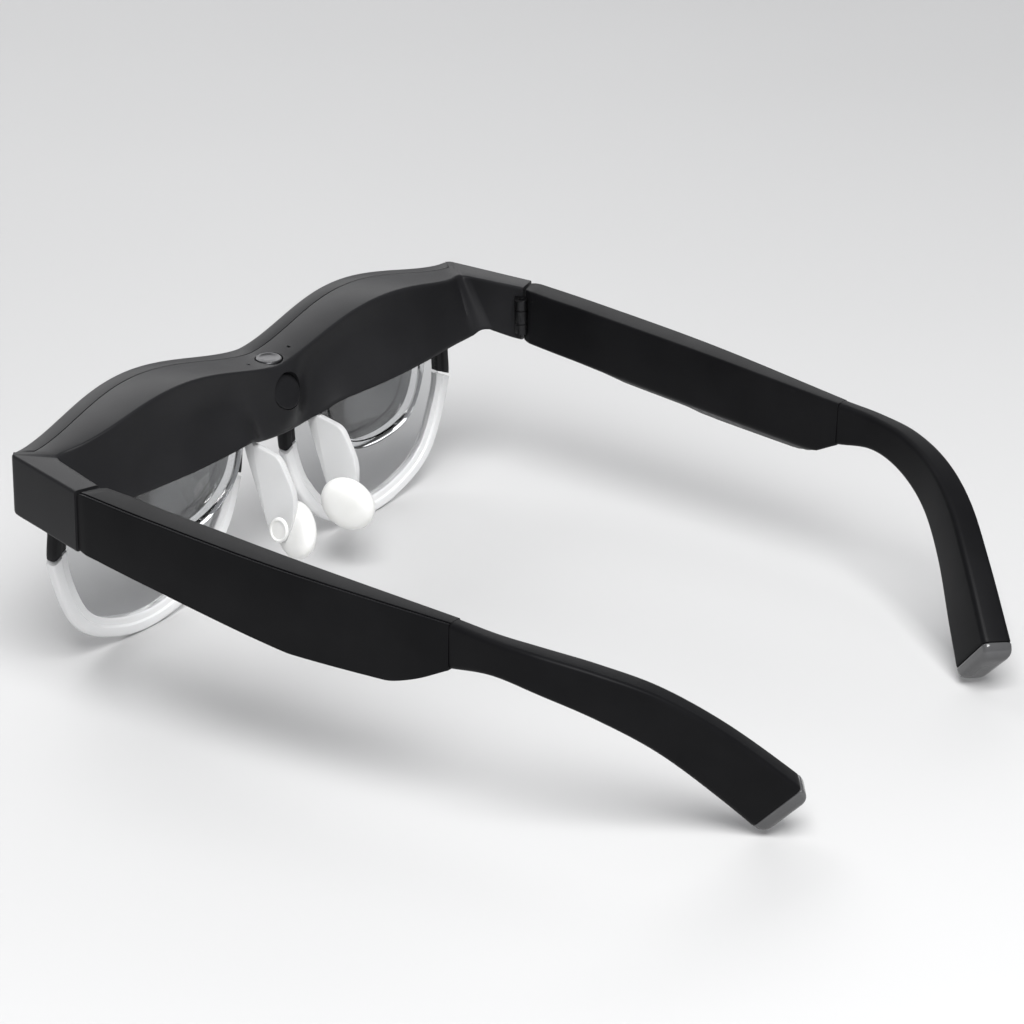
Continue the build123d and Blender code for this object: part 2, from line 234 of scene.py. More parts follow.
def spread(tree, source, low, high):
    node = tree.nodes.new("ShaderNodeMapRange")
    node.inputs["To Min"].default_value = low
    node.inputs["To Max"].default_value = high
    tree.links.new(source, node.inputs["Value"])
    return node.outputs["Result"]


def bump(tree, source, distance, shader, strength=1.0):
    node = tree.nodes.new("ShaderNodeBump")
    node.inputs["Distance"].default_value = distance
    node.inputs["Strength"].default_value = strength
    tree.links.new(source, node.inputs["Height"])
    tree.links.new(node.outputs["Normal"], shader.inputs["Normal"])


def satin_plastic(name, dark, light, rough_low, rough_high, grain=0.00002, specular=0.22):
    material, tree, shader = new_material(name)
    cloud = noise(tree, 60, 4)
    fine = noise(tree, 5200, 2, 0.6)
    colour = ramp(tree, cloud.outputs["Fac"], [(0.35, dark), (0.7, light)])
    tree.links.new(colour.outputs["Color"], shader.inputs["Base Color"])
    smudge = noise(tree, 140, 5, 0.6)
    tree.links.new(spread(tree, smudge.outputs["Fac"], rough_low, rough_high), shader.inputs["Roughness"])
    bump(tree, fine.outputs["Fac"], grain, shader, 0.6)
    shader.inputs["Specular IOR Level"].default_value = specular
    return material


def clear_plastic(name, tint, roughness, ior=1.49, whiten=0.0):
    material, tree, shader = new_material(name)
    flow = noise(tree, 90, 3)
    colour = ramp(tree, flow.outputs["Fac"], [(0.3, tint), (0.8, tuple(min(c * 1.03, 1) for c in tint))])
    tree.links.new(colour.outputs["Color"], shader.inputs["Base Color"])
    wear = noise(tree, 400, 4)
    tree.links.new(spread(tree, wear.outputs["Fac"], roughness * 0.5, roughness * 1.6),
                   shader.inputs["Roughness"])
    bump(tree, flow.outputs["Fac"], 0.00004, shader, 0.25)
    shader.inputs["Transmission Weight"].default_value = 1.0 - whiten
    shader.inputs["IOR"].default_value = ior
    return material


def metal(name, dark, light, roughness, stretch=(1, 40, 1)):
    material, tree, shader = new_material(name)
    coords = tree.nodes.new("ShaderNodeTexCoord")
    mapping = tree.nodes.new("ShaderNodeMapping")
    mapping.inputs["Scale"].default_value = stretch
    brushed = tree.nodes.new("ShaderNodeTexNoise")
    brushed.inputs["Scale"].default_value = 500
    tree.links.new(coords.outputs["Object"], mapping.inputs["Vector"])
    tree.links.new(mapping.outputs["Vector"], brushed.inputs["Vector"])
    colour = ramp(tree, brushed.outputs["Fac"], [(0.3, dark), (0.7, light)])
    tree.links.new(colour.outputs["Color"], shader.inputs["Base Color"])
    tree.links.new(spread(tree, brushed.outputs["Fac"], roughness * 0.7, roughness * 1.3),
                   shader.inputs["Roughness"])
    shader.inputs["Metallic"].default_value = 1.0
    bump(tree, brushed.outputs["Fac"], 0.00001, shader, 0.3)
    return material


def silicone():
    material, tree, shader = new_material("silicone_white")
    cloud = noise(tree, 120, 3)
    colour = ramp(tree, cloud.outputs["Fac"], [(0.3, (0.80, 0.80, 0.78)), (0.75, (0.87, 0.87, 0.855))])
    tree.links.new(colour.outputs["Color"], shader.inputs["Base Color"])
    tree.links.new(spread(tree, cloud.outputs["Fac"], 0.42, 0.6), shader.inputs["Roughness"])
    bump(tree, noise(tree, 3000, 2).outputs["Fac"], 0.00002, shader, 0.5)
    shader.inputs["Subsurface Weight"].default_value = 0.25
    shader.inputs["Subsurface Radius"].default_value = (0.002, 0.002, 0.0018)
    shader.inputs["Subsurface Scale"].default_value = 1.0
    return material


BLACK = satin_plastic("satin_black", (0.0125, 0.0125, 0.0135), (0.0160, 0.0160, 0.0172), 0.34, 0.42,
                      specular=0.11)
# Temple copy of the satin black: painted shade, the same plastic made darker and less shiny so the temple sides
# read as shaded
TEMPLE_BLACK_PAINTED_SHADE = satin_plastic("satin_black_temple_painted_shade", (0.0050, 0.0050, 0.0056), (0.0075, 0.0075, 0.0082),
                             0.36, 0.44, specular=0.06)
# Smoked end caps: partly the smoked plastic's own grey and partly painted highlight, its lighter tone raised to
# stand in for the bright rim highlight
SMOKED_AND_PAINTED_HIGHLIGHT = satin_plastic("smoked_gloss", (0.05, 0.05, 0.052), (0.085, 0.085, 0.087), 0.08, 0.16, 0.000004, 0.6)
GLOSS_BLACK = satin_plastic("gloss_black", (0.009, 0.009, 0.010), (0.012, 0.012, 0.013), 0.26, 0.33,
                            0.000002, 0.2)
CLEAR = clear_plastic("clear_rim", (0.97, 0.975, 0.98), 0.08, whiten=0.78)
CLEAR_SOFT = clear_plastic("clear_bracket", (0.97, 0.975, 0.98), 0.2, whiten=0.45)
OPTIC = clear_plastic("optic_glass", (0.86, 0.865, 0.87), 0.02, 1.5)
LENS = clear_plastic("tinted_lens", (0.68, 0.685, 0.69), 0.01, 1.1)
MIRROR = clear_plastic("half_mirror", (0.17, 0.175, 0.18), 0.05, 1.8)
STEEL = metal("steel", (0.02, 0.02, 0.021), (0.05, 0.05, 0.052), 0.4)
BUTTON_METAL = metal("button_metal", (0.05, 0.05, 0.053), (0.10, 0.10, 0.103), 0.34)
SILICONE = silicone()
GRILLE = metal("grille", (0.02, 0.02, 0.022), (0.05, 0.05, 0.052), 0.45)
WRAP = satin_plastic("battery_wrap", (0.20, 0.22, 0.25), (0.26, 0.28, 0.31), 0.3, 0.45)
COMPONENT = satin_plastic("component_black", (0.03, 0.03, 0.03), (0.05, 0.05, 0.05), 0.4, 0.55)
BOARD = satin_plastic("circuit_board", (0.02, 0.12, 0.06), (0.03, 0.16, 0.09), 0.25, 0.4)


# ---------------------------------------------------------------- brow
WAVE_SPAN, HALF_WIDTH = 72.0, 75.0
HINGE_OUT, HINGE_IN = Vector((78.8, 23.5, 0)), Vector((73.1, 25.2, 0))
CORNER_X = 73.6               # where the front turns into the end piece
COVER_DEPTH, COVER_DEPTH_LOW = 4.2, 3.2
LOW_SHARE = 0.76              # depth of the cover's underside over that of its top
SEAM = 0.12                   # gap between the front cover and the housing
CORNER_SHARE = 0.985          # the cover spans the stations below this share of the front


def wave(x, height):
    u = min(abs(x) / WAVE_SPAN, 1.0)
    return height * math.sin(math.pi * u) ** 1.5


def front_y(x):
    u = min(abs(x) / HALF_WIDTH, 1.0)
    return -2.1 * (1 - u * u) - 2.9 * math.sin(math.pi * u) ** 2


def rear_low(x):
    a = abs(x)
    over_eye = 1 / (1 + math.exp(-(a - 12.0) / 2.0))
    return -17.3 + 4.6 * over_eye - 0.8 * max(a - 42.0, 0.0) / 29.0


def side_knots():
    """Plan curves of the left half from the bridge to the hinge gap: front, top rear and lower rear."""
    front = plan(*((x, front_y(x)) for x in (CORNER_X * k / 24 for k in range(25))))
    corner = plan((74.45, 0.15), (74.95, 0.75), (75.2, 1.8))
    top = plan((0, 12), (20, 11.7), (40, 12.3), (54, 12.1), (62, 10.8), (67.4, 8.9))
    top_corner = plan((69.1, 8.9), (70.0, 10.6))
    low = plan((0, 13.4), (8, 13.6), (13, 16.2), (20, 18.3), (34, 19.0), (46, 18.3), (58, 16.6), (65.6, 15.9))
    low_corner = plan((68.6, 16.3), (70.9, 18.0))
    curves = {"front": (front, corner, HINGE_OUT), "top": (top, top_corner, HINGE_IN),
              "low": (low, low_corner, HINGE_IN)}
    return {name: (spline(face, 60), spline([face[-1]] + turn, 8), spline([turn[-1], end], 26))
            for name, (face, turn, end) in curves.items()}


def brow_stations():
    """(front, top rear, lower rear, share past the corner) for every station from the bridge to the gap."""
    knots = side_knots()
    stations = []
    for part in range(3):
        trio = zip(knots["front"][part], knots["top"][part], knots["low"][part])
        for i, (f, t, b) in enumerate(trio):
            if part and i == 0:
                continue
            stations.append((f, t, b, part + i / len(knots["front"][part])))
    return stations


def brow_ring(front, top, low, past, cover, depth=COVER_DEPTH):
    """Ring of one station; cover asks for the front cover's part, otherwise the rear housing's."""
    x = front.x
    z_tf = wave(front.x, 5.1) if past < 1 else 0.0
    z_tr = wave(top.x, 6.2) if past < 1.4 else 0.0
    if past < 1:
        z_low = rear_low(low.x)
        z_front = table([(0.0, -12.6), (12.0, -12.0), (58.0, -12.0), (66.0, -14.4), (71.0, -15.0),
                         (CORNER_X, -14.4)], x)
    else:
        z_low = table([(0.0, rear_low(65.6)), (0.6, -12.4), (2.0, -13.9)], past - 1)
        z_front = table([(0.0, -14.4), (1.2, -14.5), (2.0, -14.7)], past - 1)
    z_front = z_front if abs(x) > 12 else min(z_front, z_low + 1.2)
    bridge = math.exp(-(x / 7.0) ** 2)
    eye = math.exp(-((abs(x) - 27.0) / 15.0) ** 2)
    scoop = (2.6 * bridge - (1.0 + 1.7 * eye) * (1 - bridge)) * (1 - min(max((past - 0.86) / 0.3, 0), 1))
    a = Vector((front.x, front.y, z_tf))
    b = Vector((top.x, top.y, z_tr))
    c = Vector((low.x, low.y, z_low))
    d = Vector((front.x, front.y, z_front))
    if past < 1:
        d.y += 1.2
    away = Vector((b.x - a.x, b.y - a.y, 0)).normalized()
    rear = [b.lerp(c, k / 7) + away * scoop * math.sin(math.pi * k / 7) for k in range(8)]
    if cover:
        s_top = a + (b - a).normalized() * depth
        s_low = d + (c - d).normalized() * LOW_SHARE * depth
        return rounded([a, s_top, s_low, d], [0.9, 0.12, 0.12, 0.9], 4)
    first, last = 0.8, 0.8
    if past < CORNER_SHARE:
        a = a + (b - a).normalized() * (depth + SEAM)
        d = d + (c - d).normalized() * (COVER_DEPTH_LOW + SEAM)
        first, last = 0.15, 0.15
    corners = [a] + rear + [d]
    return rounded(corners, [first, 0.7] + [2.0] * 6 + [1.2, last], 4)


def full_width(half):
    """Both sides of a ring list that starts on the symmetry plane."""
    flipped = [[Vector((-p.x, p.y, p.z)) for p in ring] for ring in half[:0:-1]]
    return flipped + half


def build_brow():
    stations = brow_stations()
    housing = [brow_ring(*s, cover=False) for s in stations]
    across_front = [s for s in stations if s[3] < CORNER_SHARE]
    cover = [brow_ring(*s, cover=True) for s in across_front]
    last, past_corner = across_front[-1], stations[len(across_front)]
    for share in (0.5, 0.9):
        points = [p.lerp(q, share) for p, q in zip(last[:3], past_corner[:3])]
        cover.append(brow_ring(*points, last[3], cover=True, depth=COVER_DEPTH * (1 - share)))
    housing_piece = make_object("brow_rear_housing", ring_mesh(full_width(housing)), "frame",
                                BLACK, ["rear_housing"], 50)
    make_object("brow_front_cover", ring_mesh(full_width(cover)), "frame", BLACK,
                ["front_cover"], 50)
    return housing_piece


# ---------------------------------------------------------------- cutting holes
def carve(piece, cutters):
    """Cut closed meshes, drawn in worn millimetres, out of a finished piece."""
    for bm in cutters:
        bm.transform(Matrix.Scale(MM, 4))
        bmesh.ops.recalc_face_normals(bm, faces=bm.faces)
        bm.transform(TO_ROW)
        mesh = bpy.data.meshes.new("cutter")
        bm.to_mesh(mesh)
        bm.free()
        tool = bpy.data.objects.new("cutter", mesh)
        bpy.context.scene.collection.objects.link(tool)
        cut = piece.modifiers.new("cut", "BOOLEAN")
        cut.operation, cut.solver, cut.object = "DIFFERENCE", "EXACT", tool
        bpy.context.view_layer.update()
        done = bpy.data.meshes.new_from_object(piece.evaluated_get(bpy.context.evaluated_depsgraph_get()))
        piece.modifiers.clear()
        piece.data = done
        bpy.data.objects.remove(tool)
    piece.data.set_sharp_from_angle(angle=math.radians(40))


def lathe(profile, place=Matrix(), segments=64):
    """Closed turned shape: (radius, height) points from the bottom middle to the top middle."""
    return ring_mesh([[place @ Vector((r * math.cos(a), r * math.sin(a), z)) for a in circle(segments)]
                      for r, z in profile])


def ease_profile(radius, low, high, edge, steps=4):
    """Lathe profile of a disc with rounded rims."""
    flat = radius - edge
    return ([(flat + edge * math.sin(a), low + edge - edge * math.cos(a)) for a in arc(steps)]
            + [(flat + edge * math.cos(a), high - edge + edge * math.sin(a)) for a in arc(steps)])


def slab(outline, levels, lift):
    """Closed plate from an outline function of inset, at (level, inset) steps."""
    return ring_mesh([[lift(p, level) for p in outline(inset)] for level, inset in levels])


def eased(low, high, edge, steps=3):
    """(level, inset) steps through a plate with rounded edges."""
    rounding = [(edge * (1 - math.cos(a)), edge * (1 - math.sin(a))) for a in arc(steps)]
    return [(low + d, i) for d, i in rounding] + [(high - d, i) for d, i in rounding[::-1]]


# ---------------------------------------------------------------- bridge details
BUTTON_AT = Vector((0, 7.8, 0))
WINDOW_AT, WINDOW_TURN = Vector((0, 13.6, -6.4)), math.radians(24)
MIC_X = 7.1


def build_bridge(housing):
    spot = Matrix.Translation(BUTTON_AT)
    facing = Matrix.Translation(WINDOW_AT) @ Matrix.Rotation(-math.pi / 2 + WINDOW_TURN, 4, "X")
    cutters = [lathe([(3.35, -2.6), (3.35, 0.2), (3.75, 1.2), (3.75, 3.0)], spot)]
    for side in (-1, 1):
        mic = Matrix.Translation(Vector((side * MIC_X, BUTTON_AT.y, 0)))
        cutters.append(lathe([(0.42, -1.6), (0.42, 0.1), (0.6, 1.0)], mic, 24))
    cutters.append(lathe([(4.35, -1.1), (4.35, 0.0), (4.7, 4.5)], facing))
    carve(housing, cutters)
    button = lathe([(3.1, -2.0), (3.1, 0.22), (3.02, 0.36), (2.88, 0.46), (2.7, 0.5), (2.35, 0.48),
                    (2.2, 0.42), (1.2, 0.36), (0.4, 0.35)], spot)
    make_object("button_cap", button, "button", BUTTON_METAL, ["top_button"])
    disc = lathe(ease_profile(4.2, -1.0, -0.12, 0.3) + [(2.6, -0.02), (1.0, 0.0)], facing)
    make_object("window_disc", disc, "frame", GLOSS_BLACK, ["bridge_window"])


# ---------------------------------------------------------------- rims, lenses and optics
RIM_WALL = 4.6
RIM_FRONT, RIM_REAR = 3.2, 6.2
RIM_JOINT_Z = -27.5           # where the black stubs meet the clear lower rim
STUB_TOP_Z = -10.5


def rim_points(w, count=150):
    """Curve of the left eye opening from its outer top round to its inner top, drawn in by w."""
    return spline([(68.4 - w, 0, -9), (68.55 - w, 0, -20), (68.6 - w, 0, -30),
                   (62.2 - 0.85 * w, 0, -46.2 + 0.6 * w), (50.5 - 0.4 * w, 0, -53.4 + 0.92 * w),
                   (36.7, 0, -55.25 + w),
                   (22.5 + 0.45 * w, 0, -51.0 + 0.9 * w), (12.6 + 0.85 * w, 0, -40.2 + 0.5 * w),
                   (8.0 + w, 0, -28.9), (6.8 + w, 0, -20), (6.4 + w, 0, -9)], count)


def rim_ring(outer, inner, wall_in=0.0):
    """Rounded section of a rim between its outer and inner curves."""
    out, ins = outer.lerp(inner, wall_in), inner.lerp(outer, wall_in)
    ledge, riser = out.lerp(ins, 0.56), out.lerp(ins, 0.62)
    corners = [Vector((out.x, RIM_FRONT, out.z)), Vector((out.x, RIM_REAR, out.z)),
               Vector((ledge.x, RIM_REAR, ledge.z)), Vector((riser.x, RIM_REAR - 0.5, riser.z)),
               Vector((ins.x, RIM_REAR - 0.5, ins.z)), Vector((ins.x, RIM_FRONT, ins.z))]
    return rounded(corners, [1.0, 0.9, 0.35, 0.15, 0.4, 0.3], 4)


def build_eye(side, mirrored):
    outer, inner = rim_points(0.0), rim_points(RIM_WALL)
    clear = [(o, i) for o, i in zip(outer, inner) if o.z < RIM_JOINT_Z]
    rings = [rim_ring(o, i) for o, i in clear]
    make_object(side + "_rim_clear", ring_mesh(rings), "frame", CLEAR,
                [side + "_lower_rim"], 50, mirrored)
    half = len(outer) // 2
    halves = (zip(outer[:half], inner[:half]), zip(outer[half:], inner[half:]))
    stubs = joined(ring_mesh([rim_ring(o, i, 0.04) for o, i in part
                              if RIM_JOINT_Z + 0.1 < o.z < STUB_TOP_Z]) for part in halves)
    make_object(side + "_stubs_black", stubs, "frame", BLACK, [side + "_rim_stubs"], 50,
                mirrored)
    lens = slab(lambda inset: rim_points(RIM_WALL - 0.9 + inset, 120), eased(4.05, 5.35, 0.3), depthwise)
    make_object(side + "_lens_tinted", lens, "frame", LENS, [side + "_front_lens"], 40,
                mirrored)
    build_optic(side, mirrored)


def optic_points(w):
    """D-shaped outline of the left optic block, drawn in by w."""
    return spline([(13.0 + w, 0, -9.6), (13.2 + w, 0, -16.0), (16.5 + 0.9 * w, 0, -24.5 + 0.4 * w),
                   (25.0 + 0.4 * w, 0, -30.8 + 0.9 * w), (36.0, 0, -32.35 + w),
                   (46.5 - 0.6 * w, 0, -29.3 + 0.8 * w), (51.4 - w, 0, -20.0), (51.9 - w, 0, -9.6)], 90)


def build_optic(side, mirrored):
    rear_window = [(11.6, 0.0), (11.95, 0.15), (12.1, 0.5), (12.1, 2.0), (11.7, 2.2), (11.7, 2.6),
                   (12.2, 2.9), (12.6, 4.2), (12.8, 6.5), (12.9, 9.0)]
    block = slab(optic_points, eased(6.45, 12.1, 0.5)[:-4] + rear_window, depthwise)
    make_object(side + "_optic_clear", block, "frame", OPTIC, [side + "_optic_block"], 40,
                mirrored)
    mirror = slab(lambda inset: optic_points(2.9 + inset), eased(6.65, 7.1, 0.15), depthwise)
    make_object(side + "_mirror_plate", mirror, "frame", MIRROR, [side + "_combiner"], 40,
                mirrored)


# ---------------------------------------------------------------- nose bracket and pads
def plate_outline(corners, radii):
    """Outline function of inset for a flat plate in the (y, z) plane."""
    middle = sum((Vector(c) for c in corners), Vector((0, 0))) / len(corners)
    points = [p.xy for p in rounded(plan(*corners), radii, 6)]
    return lambda inset: [p + (middle - p).normalized() * inset for p in points]


ARM_CORNERS = [(9.0, -10.0), (10.6, -10.0), (13.0, -16.0), (21.2, -17.0), (26.0, -25.0), (25.6, -33.0),
               (22.9, -38.9), (18.7, -38.4), (17.3, -34.6), (10.6, -18.0)]
ARM_RADII = [0.4, 0.4, 0.6, 2.0, 3.0, 3.0, 2.4, 2.4, 2.0, 3.0]
ARM_INNER_X, ARM_OUTER_X = 10.05, 11.75
PAD_AT, PAD_TURN, PAD_LEAN = Vector((9.0, 24.4, -35.4)), math.radians(15), math.radians(8)
PAD_PROFILE = [(0.6, -2.28), (3.4, -2.2), (5.2, -1.9), (6.3, -1.3), (6.8, -0.55), (6.95, 0.2),
               (6.75, 1.0), (6.1, 1.65), (4.7, 2.08), (2.6, 2.26), (0.6, 2.28)]        # (radius, height)
PLUG_AT, PLUG_TURN = Vector((ARM_OUTER_X, 21.4, -35.4)), math.radians(26.6)
PLUG_HALF = (2.65, 3.5)
# (height over the arm, share of the half widths)
PLUG_PROFILE = [(-1.9, 0.9), (0.0, 1.0), (0.25, 1.0), (0.5, 0.95), (0.6, 0.86), (0.56, 0.78),
                (0.32, 0.72), (0.3, 0.4), (0.34, 0.1)]


def build_nose():
    outline = plate_outline(ARM_CORNERS, ARM_RADII)
    arms = joined([slab(outline, eased(ARM_INNER_X, ARM_OUTER_X, 0.35),
                        lambda p, x, side=side: Vector((side * x, p.x, p.y))) for side in (1, -1)])
    make_object("nose_arms", arms, "frame", CLEAR_SOFT, ["nose_bracket"], 40)
    for side, mirrored in SIDES:
        spot = Matrix.Translation(PAD_AT) @ Matrix.Rotation(-PAD_TURN, 4, "Z") \
            @ Matrix.Rotation(-PAD_LEAN, 4, "Y") @ Matrix.Rotation(math.radians(90), 4, "Y")
        disc = lathe(PAD_PROFILE, spot)
        face = Matrix.Translation(PLUG_AT) @ Matrix.Rotation(-PLUG_TURN, 4, "X")
        wide, high = PLUG_HALF
        plug = ring_mesh([[face @ Vector((z, wide * s * math.cos(a), high * s * math.sin(a)))
                           for a in circle(48)] for z, s in PLUG_PROFILE])
        add_lump(disc, plug)
        make_object(side + "_pad_silicone", disc, "frame", SILICONE,
                    [side + "_nose_pad"], 40, mirrored)


# ---------------------------------------------------------------- temples
TEMPLE_OUT = [(24.85, 78.8), (45, 78.6), (80, 76.8), (121, 71.7)]
TEMPLE_IN = [(24.85, 73.1), (50, 71.9), (80, 70.7), (121, 68.0)]
TEMPLE_LOW = [(24.85, -14.35), (45, -15.9), (75, -18.5), (94, -19.8), (105, -18.2), (113, -15.4),
              (121, -10.9)]
TEMPLE_START, TEMPLE_END, TEMPLE_STEPS = 24.95, 120.92, 90
PLATE_THICK, PLATE_DROP, HALF_SEAM = 0.62, 0.22, 0.07
LEAF_SWELL = [(26.2, 0.0), (27.2, 1.0), (35.0, 1.0), (44.0, 0.0)]     # shallow swelling over the hinge leaf


def curve_value(pairs):
    """Smooth function through (y, value) pairs."""
    fine = spline([(a, b, 0) for a, b in pairs], 400)
    def value(y):
        for p, q in zip(fine, fine[1:]):
            if y <= q.x:
                t = (y - p.x) / max(q.x - p.x, 1e-9)
                return p.y + (q.y - p.y) * max(t, 0.0)
        return fine[-1].y
    return value


def temple_rings(plate):
    """Sections of the left temple from hinge to tip: the outer plate, or the top and inner cover."""
    out, ins, low = curve_value(TEMPLE_OUT), curve_value(TEMPLE_IN), curve_value(TEMPLE_LOW)
    rings = []
    for k in range(TEMPLE_STEPS + 1):
        y = TEMPLE_START + (TEMPLE_END - TEMPLE_START) * k / TEMPLE_STEPS
        edge = 0.35 * max(0.0, 1 - k / 1.5)
        xo, xi = out(y) - edge, ins(y) + edge
        top = -0.3 * (y - 20) / 101 - edge
        def base(x):
            return max(low(y), -13.9 - 0.039 * (y - 25) - 0.75 * (x - 72.6)) + edge
        seam = xo - PLATE_THICK
        if plate:
            wall = seam + HALF_SEAM
            corners = [(wall, top - PLATE_DROP), (xo, top - PLATE_DROP), (xo, base(xo)), (wall, base(wall))]
            radii = [0.1, 0.45, 0.5, 0.1]
        else:
            wall, middle = seam - HALF_SEAM, xi + 0.5 * (xo - xi)
            swell = table(LEAF_SWELL, y)
            corners = [(xi - 0.36 * swell, top), (wall, top), (wall, base(wall)),
                       (min(middle, seam - 1.0), base(middle)), (xi - 0.12 * swell, base(xi))]
            radii = [0.55, 0.18, 0.1, 0.4, 1.1]
        fade = max(0.0, 1 - (y - TEMPLE_START) / 6.0)
        def skew(x):
            return 0.9 * fade * (1 - 2 * (x - xi) / (xo - xi))
        rings.append(rounded([Vector((x, y + skew(x), z)) for x, z in corners], radii, 4))
    return rings


# Middle of the top edge (x, y, z), height, width and inward lean of the underside
TIP_STATIONS = [
    (69.85, 121.0, -0.3, 10.6, 3.7, 0.0), (69.3, 131.0, -0.6, 8.4, 4.2, 0.0),
    (67.2, 141.0, -1.2, 9.4, 4.9, 0.4), (62.5, 151.6, -3.2, 11.4, 5.3, 1.1),
    (55.7, 161.8, -7.4, 14.2, 5.7, 2.0), (47.5, 172.0, -15.2, 17.2, 6.1, 2.7),
    (39.3, 182.4, -25.3, 19.0, 6.5, 3.0), (32.0, 192.0, -35.5, 19.0, 6.7, 3.0)]
END_POINT, END_DIRECTION = Vector((36.2, 186.0, -28.8)), Vector((-0.527, 0.586, -0.615)).normalized()
LOW_END_POINT = Vector((41.8, 178.9, -40.4))
CAP_LENGTH, CAP_STEPS = 3.2, 12
CAP_ROUND_HIGH, CAP_ROUND_WIDE = 3.4 * 0.92, 1.5


def tip_edges():
    """The four long edges of a tip: top inner, top outer, bottom outer and bottom inner."""
    edges = [[], [], [], []]
    for i, (x, y, top, height, width, lean) in enumerate(TIP_STATIONS):
        a, b = TIP_STATIONS[max(i - 1, 0)], TIP_STATIONS[min(i + 1, len(TIP_STATIONS) - 1)]
        along = Vector((b[0] - a[0], b[1] - a[1], 0)).normalized() if i else Vector((0, 1, 0))
        across = Vector((along.y, -along.x, 0))
        half, spot = width / 2, Vector((x, y, top))
        for edge, (side, drop) in zip(edges, ((-half, 0), (half, 0), (0.86 * half - lean, height),
                                              (-0.86 * half - lean, height))):
            edge.append(spot + across * side - Vector((0, 0, drop)))
    return [spline(edge, 600) for edge in edges]


def cut_edges(edges, origin, normal):
    """Where a plane crosses the four edges."""
    points = []
    for edge in edges:
        before = (edge[0] - origin).dot(normal)
        spot = edge[0]
        for p, q in zip(edge, edge[1:]):
            after = (q - origin).dot(normal)
            if after >= 0:
                spot = p.lerp(q, -before / max(after - before, 1e-9)) if before < 0 else p
                break
            before = after
        points.append(spot)
    return points


def tip_ring(corners, shrink_height=0.0, shrink_width=0.0):
    """Rounded section of a tip through its four edge points, drawn in from all sides."""
    inner_top, outer_top, outer_low, inner_low = corners
    down = ((inner_low + outer_low) - (inner_top + outer_top)).normalized()
    across = ((outer_top + outer_low) - (inner_top + inner_low)).normalized()
    moved = [inner_top + down * shrink_height + across * shrink_width,
             outer_top + down * shrink_height - across * shrink_width,
             outer_low - down * shrink_height - across * shrink_width,
             inner_low - down * shrink_height + across * shrink_width]
    return rounded(moved, (1.3, 1.3, 1.5, 1.5), 5)


def build_tip(side, mirrored):
    edges = tip_edges()
    path = spline([(69.85, 121.05, -4.7), (69.3, 131, -4.8), (67.2, 140.5, -5.9), (62.8, 150.5, -8.9),
                   (56.8, 160, -14.0), (49.6, 169.3, -21.8), END_POINT.lerp(LOW_END_POINT, 0.5)], 90)
    seam_at = path[-1] - END_DIRECTION * CAP_LENGTH
    sleeve, cap = [], []
    for k, spot in enumerate(path):
        t = k / (len(path) - 1)
        ease = t * t * (3 - 2 * t)
        normal = Vector((0, 1, 0)).lerp(END_DIRECTION, min(ease * 1.08, 1.0)).normalized()
        if (spot - seam_at).dot(END_DIRECTION) < -0.4:
            sleeve.append(tip_ring(cut_edges(edges, spot, normal)))
    for back, squeeze in ((0.3, 0.0), (0.16, 0.05), (0.1, 0.25)):
        corners = cut_edges(edges, seam_at - END_DIRECTION * back, END_DIRECTION)
        sleeve.append(tip_ring(corners, squeeze, squeeze))
    for k in range(CAP_STEPS + 1):
        from_end = CAP_LENGTH * (1 - k / CAP_STEPS)
        def dip(radius):
            inside = max(radius - from_end, 0.0) / radius
            return radius * (1 - math.sqrt(max(1 - inside * inside, 0.0)))
        start = 0.2 if k == 0 else 0.0
        corners = cut_edges(edges, path[-1] - END_DIRECTION * from_end, END_DIRECTION)
        cap.append(tip_ring(corners, dip(CAP_ROUND_HIGH) + start, dip(CAP_ROUND_WIDE) + start))
    make_object(side + "_sleeve_soft", ring_mesh(sleeve), side + "_temple", TEMPLE_BLACK_PAINTED_SHADE,
                [side + "_tip_sleeve"], 50, mirrored)
    make_object(side + "_cap_smoked", ring_mesh(cap), side + "_temple", SMOKED_AND_PAINTED_HIGHLIGHT,
                [side + "_end_cap"], 50, mirrored)


def build_temple(side, mirrored):
    body = side + "_temple"
    make_object(side + "_plate", ring_mesh(temple_rings(True)), body, TEMPLE_BLACK_PAINTED_SHADE,
                [side + "_temple_shell"], 50, mirrored)
    make_object(side + "_cover", ring_mesh(temple_rings(False)), body, TEMPLE_BLACK_PAINTED_SHADE,
                [side + "_temple_cover"], 50, mirrored)
    build_tip(side, mirrored)


# ---------------------------------------------------------------- studio
def area_light(name, place, target, size, power, size_y):
    data = bpy.data.lights.new(name, "AREA")
    data.energy, data.size = power, size
    data.shape, data.size_y = "RECTANGLE", size_y
    lamp = bpy.data.objects.new(name, data)
    bpy.context.scene.collection.objects.link(lamp)
    lamp.location = place
    lamp.rotation_mode = "QUATERNION"
    lamp.rotation_quaternion = (Vector(target) - Vector(place)).to_track_quat("-Z", "Y")


FLOOR_HALF = 3.0
# Name, place, target, width, watts and depth
LIGHTS = (("key", (0.40, 0.45, 0.85), (0, 0, 0.03), 0.6, 16.5, 0.6),
          ("front_strip", (-1.30, -1.30, 0.92), (0, 0, 0.04), 2.2, 12.5, 0.7),
          ("rim", (-0.25, -0.70, 0.70), (0, -0.06, 0.03), 0.4, 1.6, 0.4))


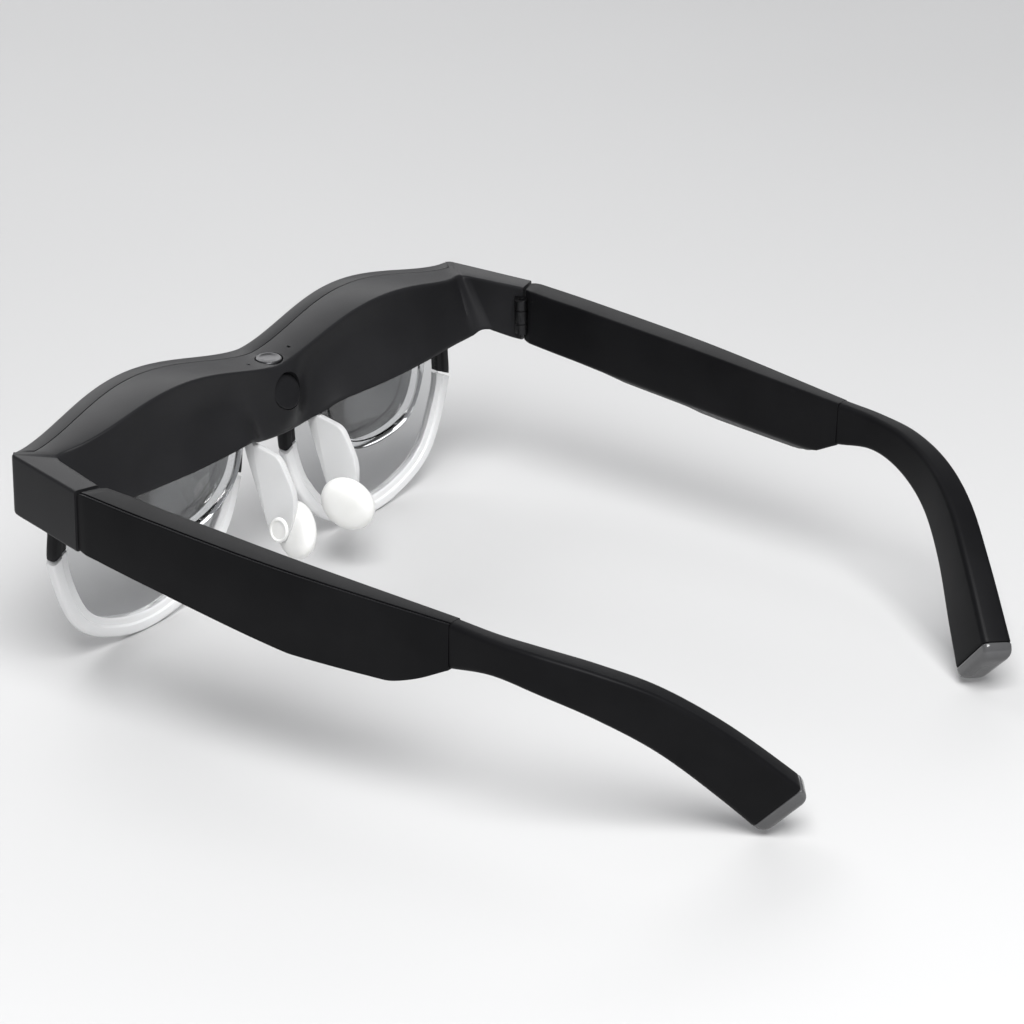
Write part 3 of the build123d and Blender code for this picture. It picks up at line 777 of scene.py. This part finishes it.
def build_studio():
    low = cad_box[0].z
    mesh = bpy.data.meshes.new("floor")
    corners = [(x * FLOOR_HALF, y * FLOOR_HALF, low) for x, y in ((-1, -1), (1, -1), (1, 1), (-1, 1))]
    mesh.from_pydata(corners, [], [(0, 1, 2, 3)])
    floor = bpy.data.objects.new("floor", mesh)
    bpy.context.scene.collection.objects.link(floor)
    material, tree, shader = new_material("pale_floor")
    cloud = noise(tree, 3, 2)
    colour = ramp(tree, cloud.outputs["Fac"], [(0.3, (0.53, 0.53, 0.53)), (0.7, (0.55, 0.55, 0.55))])
    tree.links.new(colour.outputs["Color"], shader.inputs["Base Color"])
    shader.inputs["Roughness"].default_value = 0.7
    mesh.materials.append(material)
    world = bpy.data.worlds.new("studio")
    world.use_nodes = True
    world.node_tree.nodes["Background"].inputs["Color"].default_value = (0.95, 0.96, 1.0, 1)
    world.node_tree.nodes["Background"].inputs["Strength"].default_value = 0.30
    bpy.context.scene.world = world
    for light in LIGHTS:
        area_light(*light)
    bpy.context.scene.view_settings.view_transform = "Standard"
    bpy.context.scene.view_settings.look = "None"


CAMERA_AT = (0.51896, 0.41708, 0.32444)
CAMERA_AZIMUTH, CAMERA_ELEVATION, CAMERA_ROLL = 129.546, 23.401, -2.624
CAMERA_LENS, CAMERA_SENSOR = 116.0, 36.0


def build_camera():
    a, e = math.radians(CAMERA_AZIMUTH), math.radians(CAMERA_ELEVATION)
    back = Vector((math.sin(a) * math.cos(e), -math.cos(a) * math.cos(e), math.sin(e)))
    right = (-back).cross(Vector((0, 0, 1))).normalized()
    up = right.cross(-back)
    roll = math.radians(CAMERA_ROLL)
    rolled_right = math.cos(roll) * right + math.sin(roll) * up
    rolled_up = -math.sin(roll) * right + math.cos(roll) * up
    data = bpy.data.cameras.new("camera")
    data.lens, data.sensor_width = CAMERA_LENS, CAMERA_SENSOR
    data.clip_start = 0.01
    camera = bpy.data.objects.new("camera", data)
    bpy.context.scene.collection.objects.link(camera)
    matrix = Matrix((rolled_right, rolled_up, back)).transposed().to_4x4()
    matrix.translation = Vector(CAMERA_AT)
    camera.matrix_world = matrix
    bpy.context.scene.camera = camera


build_camera()
build_studio()
brow_housing = build_brow()
build_bridge(brow_housing)
build_nose()
for side, mirrored in SIDES:
    build_temple(side, mirrored)
    build_eye(side, mirrored)

NODE_LOOKS = {
    "clear_plastic": OPTIC, "tinted_lens": LENS, "half_mirror": MIRROR, "black_glass": GLOSS_BLACK,
    "silicone": SILICONE, "steel": STEEL, "grille_mesh": GRILLE, "battery_wrap": WRAP,
    "component_black": COMPONENT, "circuit_board": BOARD, "button_metal": BUTTON_METAL,
    "smoked_gloss": SMOKED_AND_PAINTED_HIGHLIGHT, "satin_black": BLACK}
SLOTS = {part["node"]: part["material_slot"] for part in frame["record"]["subparts"]}
for name, node in frame["nodes"].items():
    node.data.materials.clear()
    node.data.materials.append(NODE_LOOKS[SLOTS[name]])
